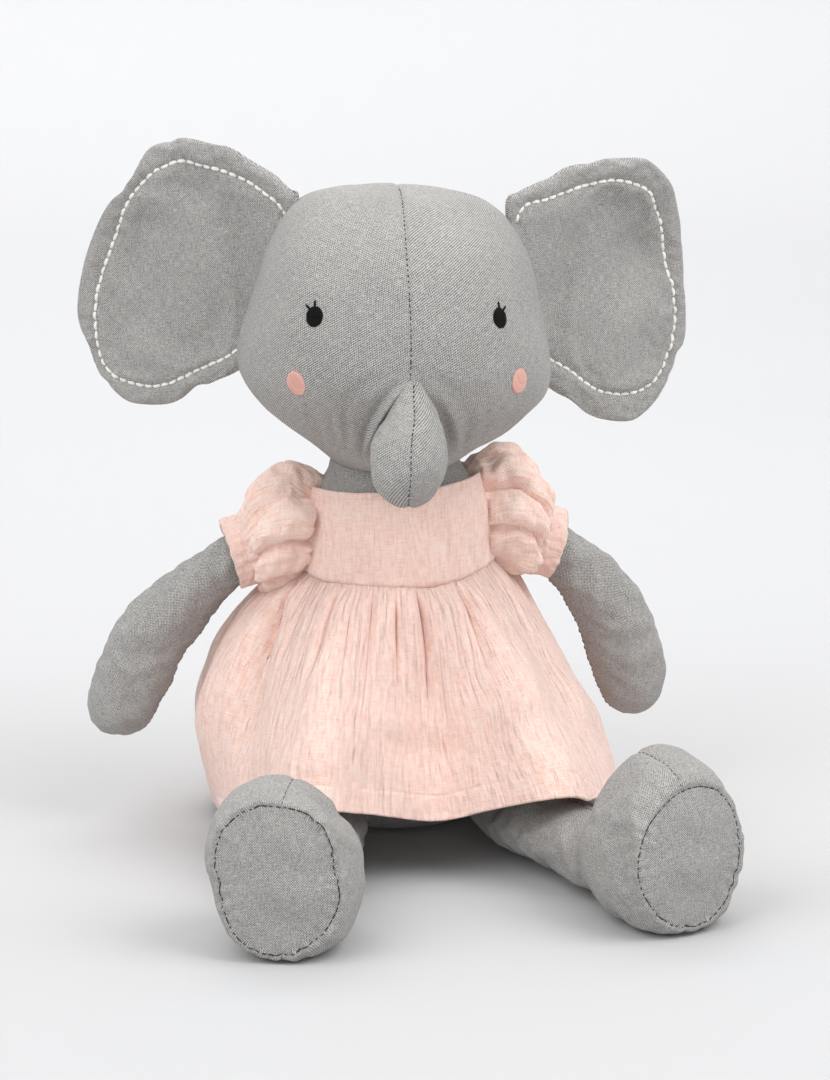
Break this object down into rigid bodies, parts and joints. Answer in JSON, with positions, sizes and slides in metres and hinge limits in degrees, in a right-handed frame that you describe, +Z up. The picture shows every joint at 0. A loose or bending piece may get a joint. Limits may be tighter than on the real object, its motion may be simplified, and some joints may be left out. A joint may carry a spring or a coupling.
{
  "type": "stuffed elephant",
  "caption": "Seated cloth elephant doll with large stitched ears and a short trunk, in a gathered puff-sleeved dress; head, trunk, ears, arms and legs bend at their sewn joints.",
  "frame": {"origin": "middle of the flat seat under the torso, on the surface the doll sits on", "axes": "+Z up; the doll faces -Y; its own left hand is at +X; the seat faces -Z"},
  "size_m": [0.2877, 0.2668, 0.315],
  "materials": {
    "linen_grey": "woven linen, matt",
    "double_gauze_pink": "crinkled double gauze, matt",
    "fibre_filling": "loose fibre",
    "thread_cream": "thick cotton thread",
    "thread_black": "satin stitch",
    "thread_blush": "satin stitch",
    "snap_shell": "matt"
  },
  "bodies": {
    "torso": {"torso_front_panel": "linen_grey", "torso_back_panel": "linen_grey", "torso_stuffing": "fibre_filling", "bodice_front": "double_gauze_pink", "bodice_back_left": "double_gauze_pink", "bodice_back_right": "double_gauze_pink", "back_snap_upper": "snap_shell", "back_snap_lower": "snap_shell", "skirt_front": "double_gauze_pink", "skirt_back": "double_gauze_pink", "hip_left_tab": "linen_grey", "hip_right_tab": "linen_grey"},
    "neck": {"neck_casing": "linen_grey", "neck_stuffing": "fibre_filling"},
    "head": {"head_front_left": "linen_grey", "head_front_right": "linen_grey", "head_back_left": "linen_grey", "head_back_right": "linen_grey", "head_stuffing": "fibre_filling", "eye_left": "thread_black", "eye_right": "thread_black", "cheek_left": "thread_blush", "cheek_right": "thread_blush"},
    "trunk": {"trunk_left_panel": "linen_grey", "trunk_right_panel": "linen_grey", "trunk_stuffing": "fibre_filling"},
    "ear_left": {"ear_left_front_panel": "linen_grey", "ear_left_back_panel": "linen_grey", "ear_left_topstitch": "thread_cream"},
    "ear_right": {"ear_right_front_panel": "linen_grey", "ear_right_back_panel": "linen_grey", "ear_right_topstitch": "thread_cream"},
    "shoulder_left": {"sleeve_left": "double_gauze_pink", "shoulder_left_tab": "linen_grey"},
    "shoulder_right": {"sleeve_right": "double_gauze_pink", "shoulder_right_tab": "linen_grey"},
    "arm_left": {"arm_left_front_panel": "linen_grey", "arm_left_back_panel": "linen_grey", "arm_left_stuffing": "fibre_filling", "cuff_left": "double_gauze_pink"},
    "arm_right": {"arm_right_front_panel": "linen_grey", "arm_right_back_panel": "linen_grey", "arm_right_stuffing": "fibre_filling", "cuff_right": "double_gauze_pink"},
    "leg_left": {"leg_left_inner_panel": "linen_grey", "leg_left_outer_panel": "linen_grey", "leg_left_sole": "linen_grey", "leg_left_stuffing": "fibre_filling"},
    "leg_right": {"leg_right_inner_panel": "linen_grey", "leg_right_outer_panel": "linen_grey", "leg_right_sole": "linen_grey", "leg_right_stuffing": "fibre_filling"}
  },
  "joints": [
    {"name": "head_nod", "type": "hinge", "parent": "torso", "child": "neck", "pos_m": [0, 0, 0.158], "axis": [1, 0, 0], "range_deg": [-12, 12], "stiffness_Nm_per_rad": 1.2, "deforming": ["neck_casing", "neck_stuffing"]},
    {"name": "head_turn", "type": "hinge", "parent": "neck", "child": "head", "pos_m": [0, 0, 0.158], "axis": [0, 0, 1], "range_deg": [-30, 38], "stiffness_Nm_per_rad": 0.4},
    {"name": "trunk_lift", "type": "hinge", "parent": "head", "child": "trunk", "pos_m": [-0.00424, -0.07239, 0.21348], "axis": [-0.9966, 0.0784, 0.0262], "range_deg": [-3, 55], "stiffness_Nm_per_rad": 0.02},
    {"name": "ear_left_flap", "type": "hinge", "parent": "head", "child": "ear_left", "pos_m": [0.06741, -0.00029, 0.24227], "axis": [0.2371, 0.1, -0.9663], "range_deg": [-28, 50], "stiffness_Nm_per_rad": 0.06},
    {"name": "ear_right_flap", "type": "hinge", "parent": "head", "child": "ear_right", "pos_m": [-0.05796, 0.00958, 0.25306], "axis": [0.2687, -0.1398, 0.953], "range_deg": [-28, 50], "stiffness_Nm_per_rad": 0.06},
    {"name": "arm_left_swing", "type": "hinge", "parent": "torso", "child": "shoulder_left", "pos_m": [0.046, 0.004, 0.14], "axis": [-1, 0, 0], "range_deg": [-35, 80], "stiffness_Nm_per_rad": 0.15},
    {"name": "arm_right_swing", "type": "hinge", "parent": "torso", "child": "shoulder_right", "pos_m": [-0.046, 0.004, 0.14], "axis": [-1, 0, 0], "range_deg": [-35, 80], "stiffness_Nm_per_rad": 0.15},
    {"name": "arm_left_raise", "type": "hinge", "parent": "shoulder_left", "child": "arm_left", "pos_m": [0.046, 0.004, 0.14], "axis": [0, -1, 0], "range_deg": [-4, 45], "stiffness_Nm_per_rad": 0.25, "deforming": ["sleeve_left", "shoulder_left_tab"]},
    {"name": "arm_right_raise", "type": "hinge", "parent": "shoulder_right", "child": "arm_right", "pos_m": [-0.046, 0.004, 0.14], "axis": [0, 1, 0], "range_deg": [-4, 45], "stiffness_Nm_per_rad": 0.25, "deforming": ["sleeve_right", "shoulder_right_tab"]},
    {"name": "leg_left_swing", "type": "hinge", "parent": "torso", "child": "leg_left", "pos_m": [0.03, -0.03, 0.018], "axis": [-0.9336, -0.3584, 0], "range_deg": [-88, 2], "deforming": ["hip_left_tab"]},
    {"name": "leg_right_swing", "type": "hinge", "parent": "torso", "child": "leg_right", "pos_m": [-0.03, -0.03, 0.018], "axis": [-0.9636, 0.2672, 0], "range_deg": [-88, 2], "deforming": ["hip_right_tab"]}
  ]
}
